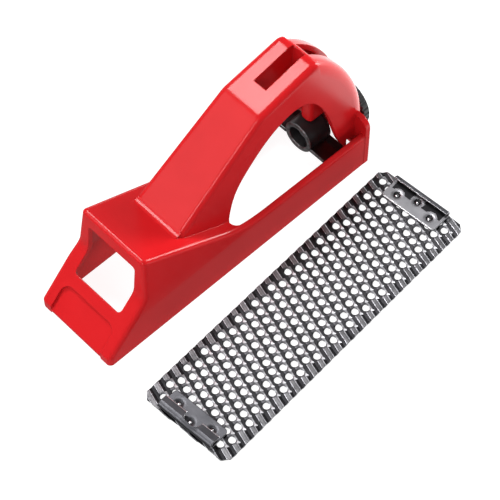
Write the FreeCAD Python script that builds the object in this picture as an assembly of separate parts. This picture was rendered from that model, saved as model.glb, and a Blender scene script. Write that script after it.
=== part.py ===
"""Pocket wood rasp: moulded plane-style holder, thumb-wheel blade tensioner and loose perforated blade.

Millimetres, +Z up, +X from the nose to the thumb wheel. The origin is the centre of the holder's sole.
Sizes along X are first stated as stations measured back from the nose's bottom edge; shift() moves the
finished solids so that the origin lies midway between the nose and the rear wall.
The holder stands on its sole and the blade lies beside it, teeth down, as the set is laid out for fitting.
"""
import FreeCAD
import Part

import math
import os

V = FreeCAD.Vector

# ---- holder shell -----------------------------------------------------------------------------------
sole_length = 138.8          # nose edge to rear wall
sole_half = 19.7             # half width at the sole
skirt_height = 20.6          # side rails behind the front box
wall = 2.2                   # moulding thickness
rim_rounding = 2.1           # side edges of the apron, the box, the platform and the rails
toe_height = 4.2             # upright toe below the sloping apron
nose_face = (19.8, 25.0)     # station and height where the sloping apron meets the upright front
box_top = (21.8, 46.2)       # front edge of the sloping platform
box_top_half = 17.1          # half width there
upright_side = 18.0          # side faces are upright to here, then lean inwards to the platform
platform_end = 71.0          # station where the platform's slope meets the rails
window_half = 12.8           # nose window
window_front = 12.2          # station of the window's lower edge on the apron
window_high = 39.0
recess_half = 14.2           # pocket in the apron for the front clip's folded lip
recess_top = 13.0
recess_depth = 1.3
hook_edge = 1.2              # height of the apron's bottom edge inside the pocket
rear_half = 19.8             # rear wall, with rounded ears above the rails
rear_height = 27.0
clip_gate_half = 15.6        # gate at the foot of the rear wall for the rear clip
clip_gate_height = 8.2

# ---- handle -----------------------------------------------------------------------------------------
handle_foot = (43.3, 34.9)   # station and height where the handle leaves the platform
handle_fold = (87.7, 66.5)   # front slope to palm flat
palm_rear = (116.9, 72.7)    # rear end of the palm flat
arch_radius = 62.5
arch_shoulder = 51.8         # height where the rear arch's tangents meet
rear_station = 142.5         # outermost face of the rear leg
handle_half = 12.8           # half width at the handle's foot
handle_draft = 0.062         # loss of half width per mm of height
slot_stations = (97.2, 117.4)
slot_half = 3.2              # hanging slot through the palm flat
groove_half = 3.5
groove_depth = 6.0
rib_wall = 1.7
web_half = 2.9               # centre web under the rear arch
web_front = 121.9
web_foot = 23.2
front_rounding = 2.8         # long edges of the slope and the palm
arch_rounding = 5.2          # long edges of the rear arch
arch_start = 118.0
cove_radius = 4.0            # hollow fillet where the handle's slope meets the platform

# ---- tensioner --------------------------------------------------------------------------------------
axis_height = 15.6           # screw, tube and thumb wheel share this axis
screw_radius = 3.0           # M6
running_gap = 0.06           # radial clearance of the turning and sliding fits
tube_radius = 7.2
tube_bore = 4.85
tube_front = 118.2
tube_rear = 129.6
plate_half = 15.0
plate_gauge = 1.6
boss_radius = 6.5
boss_front = 136.3
wheel_radius = 12.2
wheel_front = 143.5
wheel_rear = 147.0
hub_radius = 7.0
hub_rear = 149.0
flute_count = 30
head_across_flats = 10.0
head_depth = 4.2
washer_gauge = 0.8

# ---- blade ------------------------------------------------------------------------------------------
blade_length = 140.0
blade_half = 21.3
blade_corner = 2.6
sheet_gauge = 0.6
tooth_height = 0.9
blade_centre = (71.4, -53.6) # station and Y where the loose blade lies
blade_yaw = 4.2
hole_radius = 1.45
hole_across = (4.076, -2.064)  # step from one flute to the next
hole_along = (-1.425, -4.143)  # step along a flute
hole_start = (2.11, 0.42)
plain_margin = 4.0           # unpierced strip along each long edge
clip_half = 13.3
clip_reach = 10.4            # clip plate, measured in from the blade's end
clip_gauge = 0.9
clip_height = 4.3            # top of the folded lip above the sheet's underside
lip_reach = 5.2
rivet_radius = 1.5
rivet_spots = ((6.6, 8.3), (3.7, 0.0), (6.6, -8.3))
scallop_radius = 3.3


def shift(shape):
    """Move a solid from stations to the holder's frame."""
    shape.translate(V(-sole_length / 2.0, 0, 0))
    return shape


def corner_arc(before, corner, after, radius):
    """Tangent points and mid point of a rounded corner of a flat outline."""
    (ax, ay), (bx, by), (cx, cy) = before, corner, after
    ux, uy = ax - bx, ay - by
    vx, vy = cx - bx, cy - by
    lu, lv = math.hypot(ux, uy), math.hypot(vx, vy)
    ux, uy, vx, vy = ux / lu, uy / lu, vx / lv, vy / lv
    half = math.acos(max(-1.0, min(1.0, ux * vx + uy * vy))) / 2.0
    run = radius / math.tan(half)
    mx, my = ux + vx, uy + vy
    lm = math.hypot(mx, my)
    reach = radius / math.sin(half) - radius
    start = (bx + ux * run, by + uy * run)
    middle = (bx + mx / lm * reach, by + my / lm * reach)
    end = (bx + vx * run, by + vy * run)
    return start, middle, end


def outline(corners, to3d):
    """Closed face from corners (a, b, radius), with each corner rounded by its radius."""
    edges = []
    count = len(corners)
    arcs = []
    for i, (a, b, radius) in enumerate(corners):
        before = corners[i - 1][:2]
        after = corners[(i + 1) % count][:2]
        if radius > 0:
            arcs.append(corner_arc(before, (a, b), after, radius))
        else:
            arcs.append(((a, b), None, (a, b)))
    for i, (start, middle, end) in enumerate(arcs):
        if middle:
            edges.append(Part.Arc(to3d(*start), to3d(*middle), to3d(*end)).toShape())
        following = arcs[(i + 1) % count][0]
        if math.dist(end, following) > 1e-6:
            edges.append(Part.makeLine(to3d(*end), to3d(*following)))
    return Part.Face(Part.Wire(edges))


def side_prism(corners, half):
    """Solid from an outline in X and Z, from Y = -half to Y = half."""
    face = outline(corners, lambda x, z: V(x, -half, z))
    return face.extrude(V(0, 2 * half, 0))


def end_prism(corners, start, length):
    """Solid from an outline in Y and Z, along X."""
    face = outline(corners, lambda y, z: V(start, y, z))
    return face.extrude(V(length, 0, 0))


def plan_prism(corners, low, height):
    """Solid from an outline in X and Y, upwards from z = low."""
    face = outline(corners, lambda x, y: V(x, y, low))
    return face.extrude(V(0, 0, height))


def inset(corners, gap):
    """Corners of the outline moved inwards by gap; corners run clockwise."""
    moved = []
    count = len(corners)
    for i, (bx, by, radius) in enumerate(corners):
        ax, ay = corners[i - 1][:2]
        cx, cy = corners[(i + 1) % count][:2]
        lu, lv = math.hypot(bx - ax, by - ay), math.hypot(cx - bx, cy - by)
        ux, uy = (bx - ax) / lu, (by - ay) / lu
        vx, vy = (cx - bx) / lv, (cy - by) / lv
        turn = ux * vy - uy * vx
        px, py = bx + uy * gap, by - ux * gap
        qx, qy = bx + vy * gap, by - vx * gap
        along = ((qx - px) * vy - (qy - py) * vx) / turn
        rounder = radius - gap if turn < 0 else radius + gap
        moved.append((px + ux * along, py + uy * along, max(rounder, 0.0) if radius > 0 else 0.0))
    return moved


def box(x0, x1, y0, y1, z0, z1):
    return Part.makeBox(x1 - x0, y1 - y0, z1 - z0, V(x0, y0, z0))


def rod(radius, x0, x1):
    """Cylinder on the screw axis between two stations."""
    return Part.makeCylinder(radius, x1 - x0, V(x0, 0, axis_height), V(1, 0, 0))


def tube(outer, inner, x0, x1):
    return rod(outer, x0, x1).cut(rod(inner, x0 - 1, x1 + 1))


def fuse(shapes):
    first = shapes[0]
    return first.fuse(shapes[1:]).removeSplitter() if len(shapes) > 1 else first


def edges_where(shape, test):
    return [edge for edge in shape.Edges if test(edge)]


# ---- holder: front box and rails --------------------------------------------------------------------
box_profile = [
    (0.0, 0.0, 0.0),
    (0.0, toe_height, 1.2),
    (nose_face[0], nose_face[1], 7.0),
    (box_top[0], box_top[1], 1.6),
    (platform_end, skirt_height, 50.0),
    (sole_length, skirt_height - 1.6, 0.0),
    (sole_length, 0.0, 0.0),
]


def side_section(gap, half_low, half_top):
    """Cross-section of the box in Y and Z, with its walls moved inwards by gap."""
    low = half_low - gap
    top = half_top - gap
    lean = (half_low - half_top) / (box_top[1] - upright_side)
    peak = top - lean * 8.0
    right = [
        (low, -6.0, 0.0), (low, upright_side, 20.0), (top, box_top[1], 0.0), (peak, box_top[1] + 8.0, 0.0),
    ]
    left = [(-y, z, r) for y, z, r in reversed(right)]
    return left + right


def base_solid(gap):
    """The box and rails as one solid, with every wall moved inwards by gap."""
    profile = inset(box_profile, gap) if gap else box_profile
    if gap:
        profile = [(x, -5.0 if z < gap + 0.5 else z, r) for x, z, r in profile]
    across = end_prism(side_section(gap, sole_half, box_top_half), -20, 200)
    return side_prism(profile, 30).common(across)


def handle_section(gap):
    """Cross-section of the drafted handle in Y and Z."""
    low = handle_half + handle_draft * (handle_foot[1] + 6) - gap
    high = handle_half - handle_draft * (85 - handle_foot[1]) - gap
    return [(-low, -6, 0), (-high, 85, 0), (high, 85, 0), (low, -6, 0)]


handle_profile = [
    (handle_foot[0], 0.0, 0.0),
    (handle_foot[0], handle_foot[1], 0.0),
    (handle_fold[0], handle_fold[1], 9.0),
    (palm_rear[0], palm_rear[1], 4.6),
    (rear_station, arch_shoulder, arch_radius),
    (rear_station, 0.0, 0.0),
]


def handle_solid(gap):
    """Handle from the platform over the palm to the rear leg, walls moved inwards by gap."""
    profile = inset(handle_profile, gap) if gap else handle_profile
    if gap:
        profile = [(x, -5.0 if z < gap + 0.5 else z, r) for x, z, r in profile]
    return side_prism(profile, 30).common(end_prism(handle_section(gap), 0, 200))


def rounded_handle():
    """Outer handle with its long edges rounded, softly in front and strongly over the rear arch."""
    solid = handle_solid(0)

    def on_side(edge):
        centre = edge.CenterOfMass
        return abs(centre.y) > 5 and centre.z > 30 and centre.x > handle_foot[0] + 1

    def flat(edge):
        ends = [vertex.Point for vertex in edge.Vertexes]
        return abs(ends[0].y - ends[-1].y) < 3

    long_edges = edges_where(solid, lambda edge: on_side(edge) and flat(edge))
    front = solid.makeFillet(front_rounding, long_edges).common(box(0, arch_start, -30, 30, -10, 90))
    rear = solid.makeFillet(arch_rounding, long_edges).common(box(arch_start, 200, -30, 30, -10, 90))
    return front.fuse(rear)


def finger_opening():
    """Finger opening through both handle sides: a free curve from the front leg over to the rear leg."""
    rim = [
        (68.1, 23.8), (69.4, 29.0), (72.5, 36.3), (80.7, 45.3), (89.9, 52.2), (99.4, 56.2), (107.5, 56.6),
        (113.4, 53.5), (117.9, 47.6), (122.0, 38.2), (125.2, 26.2), (128.0, 17.0), (131.4, 10.6),
    ]
    points = [V(x, -20, z) for x, z in rim]
    curve = Part.BSplineCurve()
    curve.interpolate(points)
    floor = [
        points[-1], V(131.6, -20, 15.4), V(136.9, -20, 13.0), V(136.9, -20, -8), V(68.1, -20, -8),
        points[0],
    ]
    edges = [curve.toShape()] + [Part.makeLine(a, b) for a, b in zip(floor, floor[1:])]
    return Part.Face(Part.Wire(edges)).extrude(V(0, 40, 0))


def centre_rib():
    """Walls of the rear groove, its floor and the web that hangs below it, inside the handle."""
    outer = handle_solid(0)
    deep = side_prism(inset(handle_profile, groove_depth + wall), 30)
    band_half = groove_half + rib_wall
    floor_band = outer.cut(deep).common(box(118, 150, -band_half, band_half, 30, 90))
    wall_half = slot_half + rib_wall
    slot_walls = outer.common(box(slot_stations[0] - rib_wall, 120, -wall_half, wall_half, 56.5, 90))
    web = outer.common(box(web_front, 160, -web_half, web_half, web_foot, 90))
    web = web.makeFillet(2.2, edges_where(web, lambda edge: abs(edge.CenterOfMass.x - web_front) < 0.1
                                          and edge.CenterOfMass.z < web_foot + 0.1))
    web = web.makeFillet(2.0, edges_where(web, lambda edge: abs(edge.CenterOfMass.z - web_foot) < 0.1
                                          and abs(edge.CenterOfMass.y) > 2))
    return [floor_band, slot_walls, web]


def groove():
    """Open groove along the middle of the rear arch."""
    kept = side_prism(inset(handle_profile, groove_depth), 30)
    channel = box(slot_stations[1] + 1.6, 170, -groove_half, groove_half, 30, 90)
    return channel.cut(kept)


def top_opening():
    """Open top between the rails, ending beside the handle's front leg with rounded corners."""
    inner = sole_half - wall
    rear = sole_length - wall
    plan = [(67.4, -inner, 3.0), (67.4, inner, 3.0), (rear, inner, 1.0), (rear, -inner, 1.0)]
    return plan_prism(plan, -5, 60)


def apron_pocket():
    """Shallow pocket in the apron's lower front for the front clip, and the raised hook edge."""
    dx, dz = nose_face[0], nose_face[1] - toe_height
    run = math.hypot(dx, dz)
    along = (dx / run, dz / run)
    out = (-along[1], along[0])

    def at(distance, height):
        return (along[0] * distance + out[0] * height, toe_height + along[1] * distance + out[1] * height)

    top = (recess_top - toe_height) * run / dz
    slab = [(*at(-6, -recess_depth), 0), (*at(-6, 8), 0), (*at(top, 8), 0), (*at(top, -recess_depth), 0)]
    slab = side_prism(slab, recess_half)
    face = outline(
        [(-recess_half, -9.0, 0), (-recess_half, top, 4.5),
         (recess_half, top, 4.5), (recess_half, -9.0, 0)],
        lambda y, d: V(at(d, 8)[0], y, at(d, 8)[1]),
    )
    depth = 8 + recess_depth
    limit = face.extrude(V(-out[0] * depth, 0, -out[1] * depth))
    return [slab.common(limit), box(-4, 9, -recess_half, recess_half, -3, hook_edge)]


def foot_cove():
    """Hollow fillet along the line where the handle's slope meets the platform."""
    start, middle, end = corner_arc(box_top, handle_foot, handle_fold, cove_radius)
    half = handle_half - 0.9
    ahead, top, behind = [V(x, -half, z) for x, z in (start, middle, end)]
    root = V(handle_foot[0] + 0.4, -half, handle_foot[1] - 0.6)
    rise = Part.Arc(ahead, top, behind).toShape()
    edges = [rise, Part.makeLine(behind, root), Part.makeLine(root, ahead)]
    cove = Part.Face(Part.Wire(edges)).extrude(V(0, 2 * half, 0))
    plan = [(start[0], -half, 2.2), (start[0], half, 2.2), (60, half, 0), (60, -half, 0)]
    return cove.common(plan_prism(plan, 0, 60))


def on_corner(edge):
    """True for the side edges of the box's upright front and the apron below it."""
    centre = edge.CenterOfMass
    return abs(centre.y) > 15 and centre.x < box_top[0] - 0.2 and toe_height + 1 < centre.z < box_top[1] - 2


def body_shell():
    base = base_solid(0)
    base = base.makeFillet(rim_rounding, edges_where(base, on_corner))
    base = base.cut(base_solid(wall)).cut(top_opening())
    window = box(window_front, nose_face[0] + 9, -window_half, window_half, 5, window_high)
    rounded = edges_where(window, lambda edge: abs(edge.CenterOfMass.y) > 1
                          and (edge.CenterOfMass.x < window_front + 0.1
                               or edge.CenterOfMass.z > window_high - 0.1))
    base = base.cut(window.makeFillet(1.5, rounded))
    for cutter in apron_pocket():
        base = base.cut(cutter)
    base = base.cut(handle_solid(wall))

    handle = rounded_handle()
    hollow = handle_solid(wall)
    under_platform = base_solid(wall).common(box(0, 90, -30, 30, -10, 60))
    handle = handle.cut(hollow).cut(under_platform).cut(finger_opening())

    rear = end_prism(
        [(-rear_half, 0, 0), (-rear_half, rear_height, 5.0),
         (rear_half, rear_height, 5.0), (rear_half, 0, 0)],
        sole_length - wall - 0.2, wall + 0.2,
    )
    gate = end_prism(
        [(-clip_gate_half, -1, 0), (-clip_gate_half, clip_gate_height, 2.4),
         (clip_gate_half, clip_gate_height, 2.4), (clip_gate_half, -1, 0)],
        sole_length - 6, 6.5,
    )
    boss = rod(boss_radius, boss_front, rear_station - 1)
    shell = fuse([base, handle, rear, boss, foot_cove()] + centre_rib())
    slot = box(slot_stations[0], slot_stations[1], -slot_half, slot_half, 50, 90)
    bore = rod(screw_radius + running_gap, boss_front - 5, rear_station + 5)
    for cutter in (groove(), slot, bore, gate, box(-5, 160, -30, 30, -20, 0)):
        shell = shell.cut(cutter)
    return shift(shell)


# ---- tensioner --------------------------------------------------------------------------------------
def tension_plate():
    """Bent plate that carries the tube and hooks the rear clip with its turned-down rear edge."""
    g = plate_gauge
    run = [(118.0, 15.2), (129.8, 6.6), (134.5, 5.6), (134.5, 1.6)]
    corners = [
        (run[0][0], run[0][1], 0.3), (run[1][0], run[1][1], 3.0), (run[2][0], run[2][1], 1.9),
        (run[3][0], run[3][1], 0.3), (run[3][0] - g, run[3][1], 0.3), (run[2][0] - g, run[2][1] - g, 0.4),
        (run[1][0] - 0.4, run[1][1] - g, 1.5), (run[0][0], run[0][1] - g * 1.2, 0.3),
    ]
    plate = side_prism(corners, plate_half)
    plan = plan_prism(
        [(117.0, -plate_half, 2.5), (117.0, plate_half, 2.5),
         (134.6, plate_half, 1.5), (134.6, -plate_half, 1.5)],
        -1, 40,
    )
    plate = plate.common(plan)
    return shift(plate.cut(rod(tube_radius, 100, 150)))


def tube_saddle():
    """Block that joins the tube to the plate below it."""
    block = box(tube_front + 1.5, tube_rear - 0.5, -4.6, 4.6, 3, axis_height)
    above_plate = [
        (100, 40, 0), (150, 40, 0), (150, 6.1, 0), (129.8, 6.6, 3.0), (118.0, 15.2, 0), (100, 28.3, 0),
    ]
    return shift(block.common(side_prism(above_plate, 9)).cut(rod(tube_radius, 100, 150)))


def tension_tube():
    body = tube(tube_radius, tube_bore, tube_front, tube_rear)
    rims = edges_where(body, lambda edge: abs(edge.CenterOfMass.x - tube_front) < 0.01)
    return shift(body.makeFillet(0.7, rims))


def screw_nut():
    """Threaded insert pressed into the rear half of the tube."""
    return shift(tube(tube_bore, screw_radius + running_gap, tube_rear - 6.4, tube_rear))


def hexagon_prism(length):
    """Hexagon on the screw's axis, from the head's inner face to the rear: the head and its pocket."""
    radius = head_across_flats / math.sqrt(3.0)
    inner = hub_rear - head_depth
    turns = [k * math.pi / 3 for k in range(7)]
    points = [V(inner, radius * math.cos(t), axis_height + radius * math.sin(t)) for t in turns]
    return Part.Face(Part.makePolygon(points)).extrude(V(length, 0, 0))


def tension_screw():
    """M6 screw: hexagon head in the wheel, plain shank in the boss, a ring groove and the threaded end."""
    head = hexagon_prism(head_depth)
    shank = rod(screw_radius, 121.4, hub_rear - head_depth)
    tip = edges_where(shank, lambda edge: edge.CenterOfMass.x < 122)
    shank = shank.makeChamfer(0.6, tip)
    groove_cut = tube(screw_radius + 1, screw_radius - 0.6, 134.5, 135.3)
    return shift(fuse([head, shank]).cut(groove_cut))


def retaining_ring():
    """E-ring in the screw's groove that keeps the screw in the rear wall."""
    ring = tube(screw_radius + 2.4, screw_radius - 0.6, 134.5, 135.3)
    gap = box(134, 136, -1.5, 1.5, axis_height - 8, axis_height)
    return shift(ring.cut(gap))


def washer(x0):
    return shift(tube(screw_radius + 2.8, screw_radius + running_gap, x0, x0 + washer_gauge))


def knob():
    """Thumb wheel with a fluted rim, a rear hub and a hexagon pocket for the screw's head."""
    rim = rod(wheel_radius, wheel_front, wheel_rear)
    rim = rim.makeChamfer(0.5, edges_where(rim, lambda edge: edge.Curve.TypeId == "Part::GeomCircle"))
    flutes = []
    for k in range(flute_count):
        angle = 2 * math.pi * k / flute_count
        reach = wheel_radius + 0.45
        spot = V(wheel_front - 1, reach * math.cos(angle), axis_height + reach * math.sin(angle))
        flutes.append(Part.makeCylinder(0.85, wheel_rear - wheel_front + 2, spot, V(1, 0, 0)))
    hub = rod(hub_radius, wheel_front, hub_rear)
    hub = hub.makeFillet(0.8, edges_where(hub, lambda edge: abs(edge.CenterOfMass.x - hub_rear) < 0.01))
    solid = rim.cut(Part.makeCompound(flutes)).fuse(hub)
    dish = tube(wheel_radius - 1.6, hub_radius, wheel_rear - 0.7, wheel_rear + 1)
    solid = solid.cut(dish).cut(hexagon_prism(6.0)).cut(rod(screw_radius, 130, 160))
    return shift(solid.removeSplitter())


# ---- blade ------------------------------------------------------------------------------------------
def lay_blade(shape):
    """Turn and move a blade piece from the blade's own frame to where the loose blade lies."""
    shape.rotate(V(0, 0, 0), V(0, 0, 1), blade_yaw)
    shape.translate(V(blade_centre[0] - sole_length / 2.0, blade_centre[1], 0))
    return shape


def blade_plan(extra=0.0):
    end = blade_length / 2.0 + extra
    side = blade_half + extra
    low = [(-end + blade_corner, -side, 0), (-end, -side + blade_corner, 0), (-end, side - blade_corner, 0)]
    high = [(-end + blade_corner, side, 0), (end - blade_corner, side, 0), (end, side - blade_corner, 0)]
    last = [(end, -side + blade_corner, 0), (end - blade_corner, -side, 0)]
    return low + high + last


def lattice():
    """Hole centres inside the pierced field, clear of the ends."""
    spots = []
    for i in range(-26, 27):
        for j in range(-26, 27):
            x = hole_start[0] + i * hole_across[0] + j * hole_along[0]
            y = hole_start[1] + i * hole_across[1] + j * hole_along[1]
            inside_end = abs(x) < blade_length / 2.0 - 2.6
            if inside_end and abs(y) < blade_half - plain_margin:
                spots.append((x, y))
    return spots


def blade_sheet():
    """Pierced sheet with cutting ridges below it, one under each slanting row of holes."""
    sheet = plan_prism(blade_plan(), tooth_height, sheet_gauge)
    along = V(hole_along[0], hole_along[1], 0).normalize()
    across = V(-along.y, along.x, 0)
    pitch = abs(hole_across[0] * across.x + hole_across[1] * across.y)
    first = V(hole_start[0], hole_start[1], 0).dot(across)
    ridges = []
    for k in range(-19, 20):
        offset = first + (k + 0.5) * pitch
        section = [(offset - 0.9, tooth_height + 0.01), (offset, 0.0), (offset + 0.9, tooth_height + 0.01)]
        points = [across * s + V(0, 0, z) - along * 40 for s, z in section]
        ridges.append(Part.Face(Part.makePolygon(points + [points[0]])).extrude(along * 80))
    ridges = Part.makeCompound(ridges).common(plan_prism(blade_plan(), -1, 3))
    holes = [Part.makeCylinder(hole_radius, 4, V(x, y, -1)) for x, y in lattice()]
    solid = sheet.fuse(ridges).cut(Part.makeCompound(holes))
    return lay_blade(solid)


def clip(side):
    """J-shaped end clip: a riveted plate whose outer edge rises and folds back over it."""
    floor_z = tooth_height + sheet_gauge
    top = floor_z + clip_height - 1.5
    end = blade_length / 2.0
    g = clip_gauge
    section = [
        (end - clip_reach, floor_z, 0), (end, floor_z, 1.2), (end, top, 1.2),
        (end - lip_reach, top + 0.3, 0),
        (end - lip_reach, top + 0.3 - g, 0), (end - g, top - g, 0.3), (end - g, floor_z + g, 0.3),
        (end - clip_reach, floor_z + g, 0),
    ]
    solid = side_prism(section, clip_half)
    plan = [
        (end + 1, -clip_half + 0.6, 0), (end - 6.6, -clip_half, 0), (end - clip_reach, -clip_half, 1.6),
        (end - clip_reach, clip_half, 1.6), (end - 6.6, clip_half, 0), (end + 1, clip_half - 0.6, 0),
    ]
    solid = solid.common(plan_prism(plan, 0, 10))
    for inward, across in rivet_spots:
        scallop = Part.makeCylinder(scallop_radius, 6, V(end - inward, across, floor_z + g + 0.4))
        solid = solid.cut(scallop)
        solid = solid.cut(Part.makeCylinder(rivet_radius, 6, V(end - inward, across, 0)))
    if side < 0:
        solid.rotate(V(0, 0, 0), V(0, 0, 1), 180)
    return lay_blade(solid)


def clip_rivets(side):
    """Three small rivets that stake one clip to the sheet."""
    low = tooth_height
    top = tooth_height + sheet_gauge + clip_gauge
    rivets = []
    for inward, across in rivet_spots:
        x = blade_length / 2.0 - inward
        shank = Part.makeCylinder(rivet_radius, top - low, V(x, across, low))
        head = Part.makeCylinder(rivet_radius + 0.7, 0.5, V(x, across, top))
        rivets.append(shank.fuse(head).removeSplitter())
    group = Part.makeCompound(rivets)
    if side < 0:
        group.rotate(V(0, 0, 0), V(0, 0, 1), 180)
    return lay_blade(group)


def main():
    os.makedirs("parts", exist_ok=True)
    rivets_rear = clip_rivets(1)
    rivets_front = clip_rivets(-1)
    sheet = blade_sheet().cut(Part.makeCompound([rivets_rear, rivets_front]))
    nodes = {
        "body_shell": body_shell(),
        "tension_plate": tension_plate(),
        "tube_saddle": tube_saddle(),
        "tension_tube": tension_tube(),
        "screw_nut": screw_nut(),
        "tension_screw": tension_screw(),
        "retaining_ring": retaining_ring(),
        "inner_washer": washer(boss_front - washer_gauge - 0.1),
        "knob_washer": washer(rear_station + 0.1),
        "knob": knob(),
        "blade_sheet": sheet,
        "rear_clip": clip(1),
        "front_clip": clip(-1),
        "rear_clip_rivets": rivets_rear,
        "front_clip_rivets": rivets_front,
    }
    for name, shape in nodes.items():
        shape.exportStep("parts/%s.step" % name)
        b = shape.BoundBox
        limits = [round(value, 2) for value in (b.XMin, b.XMax, b.YMin, b.YMax, b.ZMin, b.ZMax)]
        print(name, "solids", len(shape.Solids), "valid", shape.isValid(), "limits", limits)


main()
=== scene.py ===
"""Looks of the pocket wood rasp: red moulded holder, thumb-wheel tensioner and the loose pierced blade."""

import math
import random

import bmesh
import bpy
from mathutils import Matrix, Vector


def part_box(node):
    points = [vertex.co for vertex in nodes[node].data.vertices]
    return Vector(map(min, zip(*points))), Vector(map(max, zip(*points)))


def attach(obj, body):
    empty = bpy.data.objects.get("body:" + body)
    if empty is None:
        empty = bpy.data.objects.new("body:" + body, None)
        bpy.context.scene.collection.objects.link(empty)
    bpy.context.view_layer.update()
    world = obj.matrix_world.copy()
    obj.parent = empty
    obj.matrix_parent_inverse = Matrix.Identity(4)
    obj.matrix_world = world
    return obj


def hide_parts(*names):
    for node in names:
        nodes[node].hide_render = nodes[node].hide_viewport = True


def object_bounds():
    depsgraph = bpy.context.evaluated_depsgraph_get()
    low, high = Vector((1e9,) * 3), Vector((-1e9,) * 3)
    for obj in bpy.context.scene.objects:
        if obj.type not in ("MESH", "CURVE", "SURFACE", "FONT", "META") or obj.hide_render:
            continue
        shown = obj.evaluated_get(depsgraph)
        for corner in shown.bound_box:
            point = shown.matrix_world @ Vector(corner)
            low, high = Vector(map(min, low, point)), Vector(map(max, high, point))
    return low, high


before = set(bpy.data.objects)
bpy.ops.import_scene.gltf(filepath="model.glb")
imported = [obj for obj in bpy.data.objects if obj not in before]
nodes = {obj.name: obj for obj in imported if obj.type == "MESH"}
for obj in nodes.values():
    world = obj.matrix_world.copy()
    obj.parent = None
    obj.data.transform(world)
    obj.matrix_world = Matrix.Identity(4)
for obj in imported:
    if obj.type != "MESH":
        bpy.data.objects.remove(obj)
cad_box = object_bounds()
MM = 0.001

# ---- camera -----------------------------------------------------------------------------------------
CAMERA_PLACE = (-0.2954, -0.3317, 0.6717)
CAMERA_TARGET = (0.0054, -0.0180, 0.0)
CAMERA_LENS = 146.95
CAMERA_SENSOR = 36.0

scene = bpy.context.scene
scene.view_settings.view_transform = "Standard"
scene.view_settings.look = "None"
camera_data = bpy.data.cameras.new("camera")
camera_data.lens = CAMERA_LENS
camera_data.sensor_width = CAMERA_SENSOR
camera_data.clip_end = 20.0
camera = bpy.data.objects.new("camera", camera_data)
scene.collection.objects.link(camera)
camera.location = CAMERA_PLACE
aim = Vector(CAMERA_TARGET) - camera.location
camera.rotation_euler = aim.to_track_quat("-Z", "Y").to_euler()
scene.camera = camera


# ---- material helpers -------------------------------------------------------------------------------
class Graph:
    """Small helper that builds one node material around a Principled shader."""

    def __init__(self, name):
        self.material = bpy.data.materials.new(name)
        self.material.use_nodes = True
        self.tree = self.material.node_tree
        self.shader = self.tree.nodes["Principled BSDF"]
        self.place = self.add("ShaderNodeTexCoord").outputs["Object"]

    def add(self, kind, **values):
        node = self.tree.nodes.new(kind)
        for key, value in values.items():
            setattr(node, key, value)
        return node

    def link(self, source, target):
        self.tree.links.new(source, target)

    def noise(self, scale, detail=4.0, roughness=0.55, stretch=None):
        """Noise in the object's own coordinates, so its grain stays put on the surface."""
        node = self.add("ShaderNodeTexNoise")
        node.inputs["Scale"].default_value = scale
        node.inputs["Detail"].default_value = detail
        node.inputs["Roughness"].default_value = roughness
        source = self.place
        if stretch:
            mapping = self.add("ShaderNodeMapping")
            mapping.inputs["Scale"].default_value = stretch
            self.link(source, mapping.inputs["Vector"])
            source = mapping.outputs["Vector"]
        self.link(source, node.inputs["Vector"])
        return node.outputs["Fac"]

    def ramp(self, source, stops):
        """Colours along a value, each stop a position and a colour."""
        node = self.add("ShaderNodeValToRGB")
        elements = node.color_ramp.elements
        while len(elements) > 1:
            elements.remove(elements[-1])
        elements[0].position = stops[0][0]
        elements[0].color = (*stops[0][1], 1.0)
        for position, colour in stops[1:]:
            elements.new(position).color = (*colour, 1.0)
        self.link(source, node.inputs["Fac"])
        return node.outputs["Color"]

    def math(self, operation, a, b=0.0, c=0.0):
        node = self.add("ShaderNodeMath", operation=operation)
        for socket, value in zip(node.inputs, (a, b, c)):
            if isinstance(value, (int, float)):
                socket.default_value = value
            else:
                self.link(value, socket)
        return node.outputs["Value"]

    def mix(self, factor, a, b, blend="MIX"):
        """Blend of two colours, by a factor that is a number or another node's output."""
        node = self.add("ShaderNodeMix", data_type="RGBA", blend_type=blend)
        if isinstance(factor, float):
            node.inputs["Factor"].default_value = factor
        else:
            self.link(factor, node.inputs["Factor"])
        colours = [socket for socket in node.inputs if socket.type == "RGBA"]
        for socket, value in zip(colours, (a, b)):
            if isinstance(value, tuple):
                socket.default_value = (*value, 1.0)
            else:
                self.link(value, socket)
        return [socket for socket in node.outputs if socket.type == "RGBA"][0]

    def span(self, source, low, high):
        """A value from 0 to 1 spread from low to high."""
        node = self.add("ShaderNodeMapRange")
        node.inputs["To Min"].default_value = low
        node.inputs["To Max"].default_value = high
        self.link(source, node.inputs["Value"])
        return node.outputs["Result"]

    def bump(self, layers, edge=0.0):
        """Stack of bumps, each (height, distance in metres, strength), over edges eased by a radius."""
        previous = None
        if edge:
            bevel = self.add("ShaderNodeBevel", samples=4)
            bevel.inputs["Radius"].default_value = edge
            previous = bevel.outputs["Normal"]
        for height, distance, strength in layers:
            node = self.add("ShaderNodeBump")
            node.inputs["Distance"].default_value = distance
            node.inputs["Strength"].default_value = strength
            self.link(height, node.inputs["Height"])
            if previous:
                self.link(previous, node.inputs["Normal"])
            previous = node.outputs["Normal"]
        self.link(previous, self.shader.inputs["Normal"])

    def set(self, **values):
        """Numbers, colours or outputs for the shader's own sockets."""
        for key, value in values.items():
            socket = self.shader.inputs[key.replace("_", " ")]
            if isinstance(value, (int, float)):
                socket.default_value = value
            elif isinstance(value, tuple):
                socket.default_value = (*value, 1.0)
            else:
                self.link(value, socket)


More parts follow.
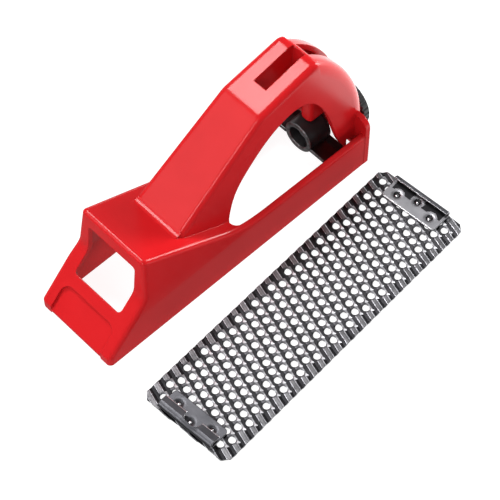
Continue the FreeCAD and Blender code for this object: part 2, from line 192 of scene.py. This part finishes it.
# ---- materials --------------------------------------------------------------------------------------
def red_plastic():
    """Glossy red moulding: slight clouding, faint waves and specks, and eased edges."""
    g = Graph("red_moulded_plastic")
    cloud = g.noise(38.0, 3.0)
    wave = g.noise(60.0, 2.0)
    speck = g.noise(900.0, 2.0)
    colour = g.ramp(cloud, [(0.30, (0.505, 0.0085, 0.0110)), (0.70, (0.560, 0.0110, 0.0140))])
    g.set(Base_Color=colour, Roughness=g.span(g.noise(120.0, 5.0), 0.16, 0.25))
    g.set(IOR=1.5, Specular_IOR_Level=0.17)
    g.bump([(wave, 0.0004, 0.08), (speck, 0.00002, 0.15)], edge=0.0005)
    return g.material


def black_paint_with_edge_highlight(name, highlight_from):
    """Black paint with a painted highlight, coloured as unpainted metal, on the edge in front of the given
    X in metres.
    """
    g = Graph(name)
    split = g.add("ShaderNodeSeparateXYZ")
    g.link(g.place, split.inputs["Vector"])
    wander = 0.0003
    ragged = g.math("MULTIPLY_ADD", g.noise(700.0, 4.0), wander, highlight_from - wander / 2.0)
    # painted highlight, coloured as unpainted metal, along the front edge
    edge_highlight = g.math("LESS_THAN", split.outputs["X"], ragged)
    paint = g.ramp(g.noise(160.0, 6.0), [(0.35, (0.012, 0.012, 0.013)), (0.75, (0.030, 0.030, 0.032))])
    metal = g.ramp(g.noise(600.0, 4.0), [(0.3, (0.07, 0.07, 0.07)), (0.7, (0.22, 0.22, 0.23))])
    g.set(Base_Color=g.mix(edge_highlight, paint, metal), Roughness=g.span(g.noise(420.0, 4.0), 0.28, 0.50))
    g.set(Metallic=g.math("MULTIPLY_ADD", edge_highlight, 0.5, 0.35))
    g.bump([(g.noise(1500.0, 3.0), 0.00005, 0.35)], edge=0.0003)
    return g.material


def steel(name, dark, light, rough, grain=(1.0, 14.0, 1.0), metallic=1.0):
    """Steel between two colours and two roughnesses, its grain drawn out by a scale on each axis."""
    g = Graph(name)
    streak = g.noise(210.0, 6.0, 0.6, grain)
    patch = g.noise(90.0, 4.0)
    blend = g.math("ADD", g.math("MULTIPLY", streak, 0.5), g.math("MULTIPLY", patch, 0.5))
    colour = g.ramp(blend, [(0.36, dark), (0.64, light)])
    g.set(Base_Color=colour, Metallic=metallic, Roughness=g.span(streak, rough[0], rough[1]))
    g.bump([(streak, 0.00004, 0.3)])
    return g.material


def black_plastic():
    """Fine-grained black moulding of the thumb wheel."""
    g = Graph("black_moulded_plastic")
    colour = g.ramp(g.noise(140.0, 4.0), [(0.3, (0.014, 0.014, 0.015)), (0.7, (0.026, 0.026, 0.028))])
    g.set(Base_Color=colour, Roughness=g.span(g.noise(500.0, 4.0), 0.38, 0.56))
    g.bump([(g.noise(1900.0, 2.0), 0.00004, 0.4)])
    return g.material


def finish_node(node, material):
    """Give a CAD node one material all over."""
    mesh = nodes[node].data
    if not mesh.materials:
        mesh.materials.append(material)
    for index in range(len(mesh.materials)):
        mesh.materials[index] = material


TUBE_EDGE_HIGHLIGHT = 0.0005    # how far back from each front edge the highlight is painted
PLATE_EDGE_HIGHLIGHT = 0.0004
tube_paint_and_highlight = black_paint_with_edge_highlight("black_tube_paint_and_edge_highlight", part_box("tension_tube")[0].x + TUBE_EDGE_HIGHLIGHT)
plate_paint_and_highlight = black_paint_with_edge_highlight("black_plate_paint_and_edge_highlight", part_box("tension_plate")[0].x + PLATE_EDGE_HIGHLIGHT)
zinc = steel("zinc_plated_steel", (0.42, 0.42, 0.44), (0.66, 0.66, 0.68), (0.22, 0.38))
spring = steel("blackened_spring_steel", (0.08, 0.08, 0.085), (0.17, 0.17, 0.18), (0.3, 0.5))
finish_node("body_shell", red_plastic())
finish_node("tension_tube", tube_paint_and_highlight)
for name in ("tension_plate", "tube_saddle"):
    finish_node(name, plate_paint_and_highlight)
for name in ("screw_nut", "tension_screw", "inner_washer", "knob_washer"):
    finish_node(name, zinc)
finish_node("retaining_ring", spring)
finish_node("knob", black_plastic())

# ---- blade frame ------------------------------------------------------------------------------------
# Millimetres from the blade's centre: u along it and v across it, or s across the flutes and t along them.
YAW = math.radians(4.2)          # the blade lies turned a little from the holder
BLADE_LENGTH = 140.0
BLADE_HALF = 21.3
BLADE_CORNER = 2.6
FLUTE_STEP = (4.076, -2.064)     # one flute to the next
HOLE_STEP = (-1.425, -4.143)     # one hole to the next in a flute
FIRST_HOLE = (2.11, 0.42)
SHEET_TOP = 1.5
SHEET_GAUGE = 0.6
HOLE_RADIUS = 1.45
SIDE_MARGIN = 4.0                # strip without holes along each long edge
END_MARGIN = 2.6                 # and at each end

low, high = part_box("blade_sheet")
centre = (low + high) / 2.0
hole_pitch = math.hypot(*HOLE_STEP)
along = (HOLE_STEP[0] / hole_pitch, HOLE_STEP[1] / hole_pitch)
across = (-along[1], along[0])
flute_pitch = FLUTE_STEP[0] * across[0] + FLUTE_STEP[1] * across[1]
skew = FLUTE_STEP[0] * along[0] + FLUTE_STEP[1] * along[1]
s_first = FIRST_HOLE[0] * across[0] + FIRST_HOLE[1] * across[1]
t_first = FIRST_HOLE[0] * along[0] + FIRST_HOLE[1] * along[1]


def turned(u, v):
    """A direction or place in the blade's frame, turned by its yaw."""
    return u * math.cos(YAW) - v * math.sin(YAW), u * math.sin(YAW) + v * math.cos(YAW)


def blade_point(u, v, z):
    """Blade frame in millimetres to the row frame in metres."""
    x, y = turned(u, v)
    return Vector((centre.x + x * MM, centre.y + y * MM, z * MM))


# ---- mesh helpers -----------------------------------------------------------------------------------
def new_object(name, bm, materials, smooth=True):
    mesh = bpy.data.meshes.new(name)
    bm.normal_update()
    bm.to_mesh(mesh)
    bm.free()
    for material in materials:
        mesh.materials.append(material)
    for polygon in mesh.polygons:
        polygon.use_smooth = smooth
    obj = bpy.data.objects.new(name, mesh)
    scene.collection.objects.link(obj)
    return obj


def face_up(bm, faces):
    """Make the normals agree, then turn the sheet over if the given faces look down."""
    bmesh.ops.recalc_face_normals(bm, faces=bm.faces)
    if sum(face.normal.z for face in faces) < 0:
        bmesh.ops.reverse_faces(bm, faces=bm.faces)


def thicken(piece, gauge):
    """Give a sheet its gauge; its cut edges take the last material."""
    modifier = piece.modifiers.new("gauge", "SOLIDIFY")
    modifier.thickness = gauge * MM
    modifier.offset = -1.0
    modifier.material_offset_rim = len(piece.data.materials) - 1


# ---- blade mesh -------------------------------------------------------------------------------------
# Height over one flute: a steep dark flank up, a flatter land that carries the holes, a steep flank down.
FLUTE_PROFILE = ((0.0, -0.50), (0.27, -0.14), (0.32, 0.0), (0.70, -0.06), (0.76, -0.20), (1.0, -0.50))
LAND_DROP = 0.03           # keeps the lands just under the CAD sheet's top
OVAL = 0.10                # how far a punched hole is out of round
LOBES = 0.07
RIM_WIDTH = 0.55           # pressed band round each hole
RIM_PRESS = (0.35, 0.16)   # its depth on the two sides of the hole
TOOTH_PLACE = 1.75         # tooth beside each hole, on both s and t
TOOTH_RADIUS = 0.9
TOOTH_RISE = 0.10
SIDE_STEPS = 8             # points on each of a cell's four sides
RINGS = (0.0, 0.12, 0.30, 0.52, 0.76, 1.0)
PLAIN_MIDDLE = 0.02        # radius of the face in the middle of a plain cell
CELLS = range(-26, 27)
OVERHANG = 4.0             # cells centred further past the outline than this aren't made
TRIM = 0.05                # keeps the cut outline inside the CAD sheet
WELD = 0.004               # joins the borders of neighbouring cells


def flute_height(s):
    share = (s / flute_pitch) % 1.0
    for (start, before), (end, after) in zip(FLUTE_PROFILE, FLUTE_PROFILE[1:]):
        if share <= end:
            return before + (after - before) * (share - start) / (end - start)
    return FLUTE_PROFILE[-1][1]


def rim_and_tooth(ds, dt):
    """Height to add near a hole, at a point given from the hole's centre."""
    press = max(0.0, 1.0 - (math.hypot(ds, dt) - HOLE_RADIUS) / RIM_WIDTH)
    tooth = max(0.0, 1.0 - math.hypot(ds - TOOTH_PLACE, dt - TOOTH_PLACE) / TOOTH_RADIUS)
    depth = RIM_PRESS[0] if ds < 0 else RIM_PRESS[1]
    return TOOTH_RISE * tooth * (1.0 - press) - depth * press * press


def hole_rim(angle, twist):
    """Radius of a punched hole, slightly out of round and different from hole to hole."""
    return HOLE_RADIUS + OVAL * math.cos(2 * angle - twist) + LOBES * math.cos(3 * angle + twist) - LOBES


def cell_border():
    """Points round the border of one cell, at equal steps along its four sides."""
    half_s, half_t = flute_pitch / 2.0, hole_pitch / 2.0
    corners = [(half_s, -half_t), (half_s, half_t), (-half_s, half_t), (-half_s, -half_t)]
    points = []
    for (s0, t0), (s1, t1) in zip(corners, corners[1:] + corners[:1]):
        for step in range(SIDE_STEPS):
            share = step / SIDE_STEPS
            s = s0 + (s1 - s0) * share
            t = t0 + (t1 - t0) * share
            points.append((s, t + skew * s / flute_pitch))
    return points


def add_cell(bm, s_mid, t_mid, pierced, twist):
    """One cell of the sheet: rings of faces from its hole, or from its middle, out to its border."""
    grid = []
    for ring in RINGS:
        row = []
        for border_s, border_t in cell_border():
            angle = math.atan2(border_t, border_s)
            radius = hole_rim(angle, twist) if pierced else PLAIN_MIDDLE
            inner_s, inner_t = radius * math.cos(angle), radius * math.sin(angle)
            ds = inner_s + (border_s - inner_s) * ring
            dt = inner_t + (border_t - inner_t) * ring
            s, t = s_mid + ds, t_mid + dt
            z = SHEET_TOP - LAND_DROP + flute_height(s - s_first + flute_pitch / 2.0)
            if pierced:
                z += rim_and_tooth(ds, dt)
            u, v = s * across[0] + t * along[0], s * across[1] + t * along[1]
            row.append(bm.verts.new((u, v, z)))
        grid.append(row)
    for inner, outer in zip(grid, grid[1:]):
        for k in range(len(inner)):
            following = (k + 1) % len(inner)
            face = bm.faces.new((inner[k], outer[k], outer[following], inner[following]))
            face.material_index = 0 if pierced else 1
    if not pierced:
        bm.faces.new(grid[0]).material_index = 1


def trim_blade(bm):
    """Cut the field of cells to the blade's outline, with its four corners clipped."""
    end, side = BLADE_LENGTH / 2.0 - TRIM, BLADE_HALF - TRIM
    planes = [((end, 0), (1, 0)), ((-end, 0), (-1, 0)), ((0, side), (0, 1)), ((0, -side), (0, -1))]
    for end_sign in (-1, 1):
        for side_sign in (-1, 1):
            planes.append(((end_sign * (end - BLADE_CORNER), side_sign * side), (end_sign, side_sign)))
    for place, normal in planes:
        whole = bm.verts[:] + bm.edges[:] + bm.faces[:]
        bmesh.ops.bisect_plane(bm, geom=whole, plane_co=(*place, 0), plane_no=(*normal, 0),
                               clear_outer=True)


def blade_mesh():
    """One mesh for the pierced sheet: a cell round every hole, and plain cells along the margins."""
    bm = bmesh.new()
    chance = random.Random(7)
    for i in CELLS:
        for j in CELLS:
            s, t = s_first + i * flute_pitch, t_first + i * skew + j * hole_pitch
            u, v = abs(s * across[0] + t * along[0]), abs(s * across[1] + t * along[1])
            if u > BLADE_LENGTH / 2.0 + OVERHANG or v > BLADE_HALF + OVERHANG:
                continue
            pierced = u < BLADE_LENGTH / 2.0 - END_MARGIN and v < BLADE_HALF - SIDE_MARGIN
            add_cell(bm, s, t, pierced, chance.uniform(1.8, 3.0))
    bmesh.ops.remove_doubles(bm, verts=bm.verts, dist=WELD)
    trim_blade(bm)
    face_up(bm, bm.faces)
    for vert in bm.verts:
        vert.co = blade_point(*vert.co)
    return bm


# ---- blade looks ------------------------------------------------------------------------------------
# The black on the flanks is partly the blade's black finish, partly painted shade; the bright edge lines
# and the lighter flank are painted highlights and painted light.
BLACK = (0.010, 0.010, 0.012)
GREY = (0.13, 0.13, 0.14)
PALE_GREY = (0.22, 0.22, 0.23)
EDGE_HIGHLIGHT = (0.62, 0.62, 0.66)
LAND = (0.11, 0.11, 0.12)
LIT_FLANK = (0.34, 0.34, 0.36)
FACET_HIGHLIGHT = (0.85, 0.85, 0.89)
PIERCED_BAND = ((0.0, BLACK), (0.27, BLACK), (0.34, LAND), (0.60, LAND), (0.86, LIT_FLANK), (0.93, LIT_FLANK),
                (0.97, BLACK), (1.0, BLACK))
PLAIN_BAND = ((0.0, BLACK), (0.26, BLACK), (0.29, EDGE_HIGHLIGHT), (0.33, GREY), (0.48, PALE_GREY),
              (0.66, GREY), (0.71, EDGE_HIGHLIGHT), (0.76, BLACK), (1.0, BLACK))
# place, reach and slant of the painted highlight on each tooth's facet
FACET_PLACE = (0.85, 0.93)     # shares of a flute and of a hole's pitch
FACET_REACH = 0.75
FACET_SLOPE = 0.7


def blade_material(name, pierced):
    """Dark flanks and brighter lands on the same flutes as the mesh: partly the black finish with ground
    lands, partly painted shade and painted highlights.
    """
    g = Graph(name)
    split = g.add("ShaderNodeSeparateXYZ")
    g.link(g.place, split.inputs["Vector"])

    def coordinate(direction, first, period):
        """Distance along a direction of the blade, in periods, with the first hole at a half."""
        dx, dy = turned(*direction)
        start = -(centre.x * dx + centre.y * dy) / (period * MM) - first / period + 0.5
        x = g.math("MULTIPLY_ADD", split.outputs["X"], dx / (period * MM), start)
        return g.math("MULTIPLY_ADD", split.outputs["Y"], dy / (period * MM), x)

    flutes = coordinate(across, s_first, flute_pitch)
    colour = g.ramp(g.math("FRACT", flutes), PIERCED_BAND if pierced else PLAIN_BAND)
    if pierced:
        # the rows of holes step along by the skew from flute to flute
        step = g.math("MULTIPLY", g.math("SUBTRACT", flutes, 0.5), -skew / hole_pitch)
        holes = g.math("ADD", coordinate(along, t_first, hole_pitch), step)
        # painted highlight on the facet at the foot of each tooth
        ds = g.math("SUBTRACT", g.math("FRACT", flutes), FACET_PLACE[0])
        dt = g.math("SUBTRACT", g.math("FRACT", holes), FACET_PLACE[1])
        over = g.math("ABSOLUTE", g.math("MULTIPLY", ds, flute_pitch))
        beside = g.math("ABSOLUTE", g.math("MULTIPLY", dt, hole_pitch))
        reach = g.math("ADD", over, g.math("MULTIPLY", beside, FACET_SLOPE))
        colour = g.mix(g.math("LESS_THAN", reach, FACET_REACH), colour, FACET_HIGHLIGHT)
    wear = g.ramp(g.noise(260.0, 5.0), [(0.35, (0.62, 0.62, 0.62)), (0.62, (1.0, 1.0, 1.0))])
    g.set(Base_Color=g.mix(1.0, colour, wear, "MULTIPLY"), Metallic=0.75)
    g.set(Roughness=g.span(g.noise(300.0, 4.0), 0.32, 0.55))
    g.bump([(g.noise(1100.0, 4.0), 0.00006, 0.35)])
    return g.material


EVEN = (1.0, 1.0, 1.0)     # no drawn grain
# steel of the cut edges, also used for painted highlights along the clips' edges
cut_edge_and_highlight = steel("cut_steel_edge_and_highlight", (0.42, 0.42, 0.44), (0.72, 0.72, 0.74), (0.25, 0.4), EVEN, 0.9)
blade_looks = [blade_material("pierced_blade_steel", True), blade_material("plain_blade_steel", False)]
blade = new_object("blade_flutes", blade_mesh(), blade_looks + [cut_edge_and_highlight], smooth=False)
thicken(blade, SHEET_GAUGE)
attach(blade, "blade")
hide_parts("blade_sheet")

# ---- end clips --------------------------------------------------------------------------------------
# p is millimetres in from the blade's end and v across it; side is 1 at the rear and -1 in front.
CLIP_HALF = 13.3
CLIP_REACH = 10.4
CLIP_CORNER = 1.6
CLIP_GAUGE = 0.75
CLIP_FLOOR = SHEET_TOP + 0.9
CLIP_COLUMNS = 108
CLIP_WELD = 2e-6
RIVETS = ((6.6, 8.3), (3.7, 0.0), (6.6, -8.3))
RIVET_RADIUS = 0.85
RIVET_FLATNESS = 0.55
RIVET_SEAT = SHEET_TOP + 0.1
DIMPLE_RADIUS = 3.2
DIMPLE_DEPTH = 0.85
PLATE_STEPS = 34
PLATE_START = 1.0
RIVET_DARK_RADIUS = {1: 1.5, -1: 1.15}      # dark radius round a rivet on each side
# painted shade: the rear clip's dark band by its wall
WALL_SHADE_BAND = 5.4                 # the rear clip is black out to here from its end,
WALL_CLEAR = 3.0                # except this close to a rivet
WALL_HALF = 12.0                # and beyond this to either side
# painted highlight along the rear clip's inner edge, this wide
INNER_EDGE_HIGHLIGHT = 0.35
LIP_TOP = 4.3
LIP_START = 1.5                 # where the fold ends and the flat lip begins
LIP_SPAN = 3.6
LIP_FALL = 0.5
LIP_STEPS = 12
LIP_HIGHLIGHT_FROM = 0.9                  # share of the lip past which a highlight is painted
REAR_LIP = 2.3
FRONT_LIP = (5.0, 5.3)          # on the two sides of its scallop
SCALLOP_MIDDLE = 1.15
SCALLOP_HALF = 3.75
SCALLOP_FLOOR = 1.62
SCALLOP_RISE = 2.4
FOLD = (
    (1.8, CLIP_FLOOR - 0.02), (1.2, CLIP_FLOOR), (0.7, CLIP_FLOOR + 0.1), (0.35, CLIP_FLOOR + 0.35),
    (0.2, CLIP_FLOOR + 0.8), (0.15, CLIP_FLOOR + 1.3), (0.25, LIP_TOP + 0.1), (0.5, LIP_TOP + 0.3),
    (0.9, LIP_TOP + 0.38), (LIP_START, LIP_TOP + 0.36),
)


def clip_sheet(side, path, shape, look):
    """Sheet over a path of (p, z) and the clip's width; shape moves its points and look colours it."""
    def across_clip(column):
        return -CLIP_HALF + 2 * CLIP_HALF * column / CLIP_COLUMNS

    bm = bmesh.new()
    rows = []
    for p, z in path:
        row = []
        for column in range(CLIP_COLUMNS + 1):
            v = across_clip(column)
            inward, height = shape(side, p, v, z)
            row.append(bm.verts.new(blade_point(side * (BLADE_LENGTH / 2.0 - inward), side * v, height)))
        rows.append(row)
    for (p, _), first, second in zip(path, rows, rows[1:]):
        for k in range(CLIP_COLUMNS):
            face = bm.faces.new((first[k], second[k], second[k + 1], first[k + 1]))
            face.material_index = look(side, p, across_clip(k + 0.5))
    bmesh.ops.remove_doubles(bm, verts=bm.verts, dist=CLIP_WELD)
    return bm


def plate_shape(side, p, v, z):
    """Dimples at the rivets, and rounded corners at the inner end."""
    for rivet_p, rivet_v in RIVETS:
        share = min(math.hypot(p - rivet_p, v - rivet_v) / DIMPLE_RADIUS, 1.0)
        z -= DIMPLE_DEPTH * (0.5 + 0.5 * math.cos(math.pi * share)) ** 2
    past = max(0.0, abs(v) - (CLIP_HALF - CLIP_CORNER))
    corner = CLIP_CORNER - math.sqrt(max(0.0, CLIP_CORNER ** 2 - past ** 2))
    return min(p, CLIP_REACH - corner), z


def plate_look(side, p, v):
    """Dark round the rivets; on the rear clip also painted shade along its wall and a painted highlight on
    its inner edge.
    """
    near = min(math.hypot(p - rivet_p, v - rivet_v) for rivet_p, rivet_v in RIVETS)
    # painted highlight on the rear clip's inner edge
    if side > 0 and p > CLIP_REACH - INNER_EDGE_HIGHLIGHT:
        return 2
    # painted shade between the rear clip's rivets and its wall
    shade_by_wall = side > 0 and p < WALL_SHADE_BAND and near > WALL_CLEAR and abs(v) < WALL_HALF
    return 1 if near < RIVET_DARK_RADIUS[side] or shade_by_wall else 0


def lip_reach(side, v):
    """How far the folded lip reaches in: long with one scallop in front, short at the rear."""
    if side > 0:
        return REAR_LIP
    share = abs(v - SCALLOP_MIDDLE) / SCALLOP_HALF
    if share < 1.0:
        return SCALLOP_FLOOR + SCALLOP_RISE * share ** 5
    return FRONT_LIP[1] if v > 0 else FRONT_LIP[0]


def lip_shape(side, p, v, z):
    """The fold as it is, and the flat lip stretched to its reach, falling a little as it goes in."""
    if p <= LIP_START:
        return p, z
    out = (p - LIP_START) * (lip_reach(side, v) - LIP_START) / LIP_SPAN
    return LIP_START + out, FOLD[-1][1] - LIP_FALL * out / LIP_SPAN


def lip_look(side, p, v):
    """Painted highlight, in the steel of the cut edges, on the last strip of the lip."""
    return 1 if p > LIP_START + LIP_SPAN * LIP_HIGHLIGHT_FROM else 0


def clip_plate(side):
    """The dimpled floor of a clip."""
    step = (CLIP_REACH - PLATE_START) / PLATE_STEPS
    path = [(CLIP_REACH - k * step, CLIP_FLOOR) for k in range(PLATE_STEPS + 1)]
    bm = clip_sheet(side, path, plate_shape, plate_look)
    face_up(bm, bm.faces)
    return bm


def clip_lip(side):
    """The wall of a clip and its fold."""
    path = list(FOLD)
    for k in range(1, LIP_STEPS + 1):
        path.append((LIP_START + LIP_SPAN * k / LIP_STEPS, FOLD[-1][1]))
    bm = clip_sheet(side, path, lip_shape, lip_look)
    face_up(bm, [max(bm.faces, key=lambda face: face.calc_center_median().z)])
    return bm


def rivet_heads(side):
    """Low domes in the bottoms of the dimples."""
    bm = bmesh.new()
    for inward, v in RIVETS:
        spot = blade_point(side * (BLADE_LENGTH / 2.0 - inward), side * v, RIVET_SEAT)
        made = bmesh.ops.create_uvsphere(bm, u_segments=24, v_segments=14, radius=RIVET_RADIUS * MM)
        for vert in made["verts"]:
            vert.co.z *= RIVET_FLATNESS
            vert.co += spot
    return bm


# Lit and shaded copies of one clip steel: the lighter is painted light on the rear plate, the darker
# painted shade on the front plate and both lips.
shaded_clip_steel = steel("clip_steel_painted_shade", (0.050, 0.050, 0.056), (0.085, 0.085, 0.093), (0.34, 0.5), EVEN, 0.9)
light = steel("clip_steel_painted_light", (0.30, 0.30, 0.32), (0.40, 0.40, 0.42), (0.34, 0.5), EVEN, 0.9)
# dark steel round the rivets, also used for the painted shade by the rear clip's wall
dark_and_shade_steel = steel("clip_steel_dark_and_painted_shade", (0.010, 0.010, 0.012), (0.025, 0.025, 0.028), (0.4, 0.6), EVEN, 0.6)
rivet_steel = steel("rivet_steel_worn", (0.45, 0.45, 0.47), (0.7, 0.7, 0.72), (0.2, 0.35), EVEN)

for side, label, plate_steel in ((1, "rear", light), (-1, "front", shaded_clip_steel)):
    plate = new_object(label + "_clip_plate", clip_plate(side), [plate_steel, dark_and_shade_steel, cut_edge_and_highlight])
    lip = new_object(label + "_clip_lip", clip_lip(side), [shaded_clip_steel, cut_edge_and_highlight])
    for piece in (plate, lip):
        thicken(piece, CLIP_GAUGE)
        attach(piece, "blade")
    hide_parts(label + "_clip")
    rivets = new_object(label + "_clip_rivet_heads", rivet_heads(side), [rivet_steel])
    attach(rivets, "blade")
    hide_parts(label + "_clip_rivets")


# ---- stage ------------------------------------------------------------------------------------------
def white_sheet(name, material_name, size, place, glow):
    """Flat matt white sheet that glows a little, so that it looks evenly lit."""
    bpy.ops.mesh.primitive_plane_add(size=1.0, location=place)
    sheet = bpy.context.active_object
    sheet.name = name
    sheet.scale = (*size, 1.0)
    g = Graph(material_name)
    g.set(Base_Color=(0.25, 0.25, 0.25), Roughness=0.9, Specular_IOR_Level=0.0)
    g.set(Emission_Color=(1.0, 1.0, 1.0), Emission_Strength=glow)
    sheet.data.materials.append(g.material)
    return sheet


def softbox(name, direction, distance, width, depth, power):
    """Soft rectangular light that faces the object's middle."""
    data = bpy.data.lights.new(name, "AREA")
    data.shape = "RECTANGLE"
    data.size = width
    data.size_y = depth
    data.energy = power
    lamp = bpy.data.objects.new(name, data)
    scene.collection.objects.link(lamp)
    lamp.location = Vector(direction).normalized() * distance
    lamp.rotation_euler = (-lamp.location).to_track_quat("-Z", "Y").to_euler()


# The floor stays out of reflections; a card behind the holder, hidden from the camera, lights its arch.
ground = cad_box[0][2]
floor = white_sheet("floor", "pale_floor", (6.0, 6.0), (0.0, 0.0, ground - 0.0002), 0.92)
floor.visible_glossy = False
card = white_sheet("rear_card", "white_card", (0.67, 0.9), (0.42, 0.05, ground - 0.0001), 1.9)
card.visible_camera = False

world = bpy.data.worlds.new("studio")
scene.world = world
world.use_nodes = True
background = world.node_tree.nodes["Background"]
background.inputs["Color"].default_value = (1.0, 1.0, 1.0, 1.0)
background.inputs["Strength"].default_value = 0.27

softbox("key", (0.02, 0.40, 0.92), 1.1, 0.38, 0.30, 9.0)
softbox("strip", (-0.675, -0.353, 0.628), 1.2, 0.25, 0.50, 5.0)
softbox("side", (0.97, -0.13, 0.22), 1.0, 0.26, 0.50, 10.0)
softbox("fill", (-0.66, 0.39, 0.64), 1.2, 0.70, 0.70, 4.0)
